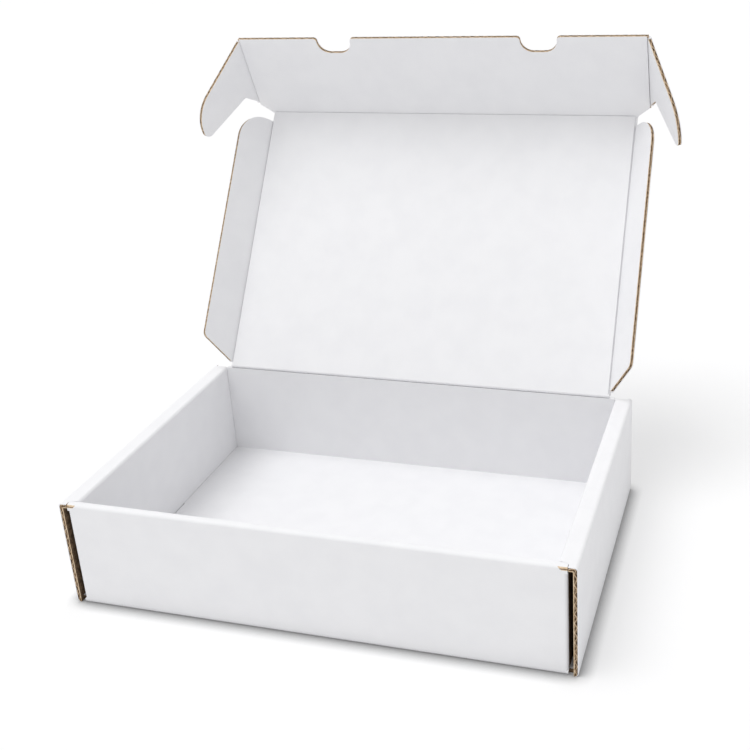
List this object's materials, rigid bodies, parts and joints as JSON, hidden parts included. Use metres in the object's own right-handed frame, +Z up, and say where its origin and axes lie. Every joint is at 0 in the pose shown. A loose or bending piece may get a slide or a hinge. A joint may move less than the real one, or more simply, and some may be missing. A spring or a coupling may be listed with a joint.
{
  "type": "corrugated mailer box",
  "caption": "White corrugated mailer box with a hinged lid, thumb-notched front flap, tuck-in ears and side dust flaps, standing open.",
  "frame": {"origin": "centre of the tray's base, on its underside", "axes": "+X to the right along the front wall, +Y from the front wall to the back wall that carries the lid, +Z up"},
  "size_m": [0.3416, 0.3102, 0.2851],
  "materials": {
    "white_board": "matte"
  },
  "bodies": {
    "tray": {"tray": "white_board"},
    "lid": {"lid": "white_board"},
    "front_flap": {"front_flap": "white_board"},
    "dust_flap_left": {"dust_flap_left": "white_board"},
    "dust_flap_right": {"dust_flap_right": "white_board"},
    "ear_left": {"ear_left": "white_board"},
    "ear_right": {"ear_right": "white_board"}
  },
  "joints": [
    {"name": "lid_hinge", "type": "hinge", "parent": "tray", "child": "lid", "pos_m": [0, 0.0962, 0.06845], "axis": [1, 0, 0], "range_deg": [-54, 126]},
    {"name": "front_flap_fold", "type": "hinge", "parent": "lid", "child": "front_flap", "pos_m": [0, 0.21141, 0.22702], "axis": [1, 0, 0], "range_deg": [-61, 29]},
    {"name": "dust_flap_left_fold", "type": "hinge", "parent": "lid", "child": "dust_flap_left", "pos_m": [-0.1365, 0.1538, 0.14773], "axis": [0, 0.5878, 0.809], "range_deg": [-25, 52]},
    {"name": "ear_left_fold", "type": "hinge", "parent": "front_flap", "child": "ear_left", "pos_m": [-0.146, 0.19799, 0.25579], "axis": [0, -0.4226, 0.9063], "range_deg": [-64, 26]},
    {"name": "dust_flap_right_fold", "type": "hinge", "parent": "lid", "child": "dust_flap_right", "pos_m": [0.1365, 0.1538, 0.14773], "axis": [0, -0.5878, -0.809], "range_deg": [-25, 52]},
    {"name": "ear_right_fold", "type": "hinge", "parent": "front_flap", "child": "ear_right", "pos_m": [0.146, 0.19799, 0.25579], "axis": [0, 0.4226, -0.9063], "range_deg": [-64, 26]}
  ],
  "couplings": [
    {"joint": "dust_flap_left_fold", "follows": "lid_hinge", "ratio": 0.39},
    {"joint": "dust_flap_right_fold", "follows": "lid_hinge", "ratio": 0.39}
  ]
}
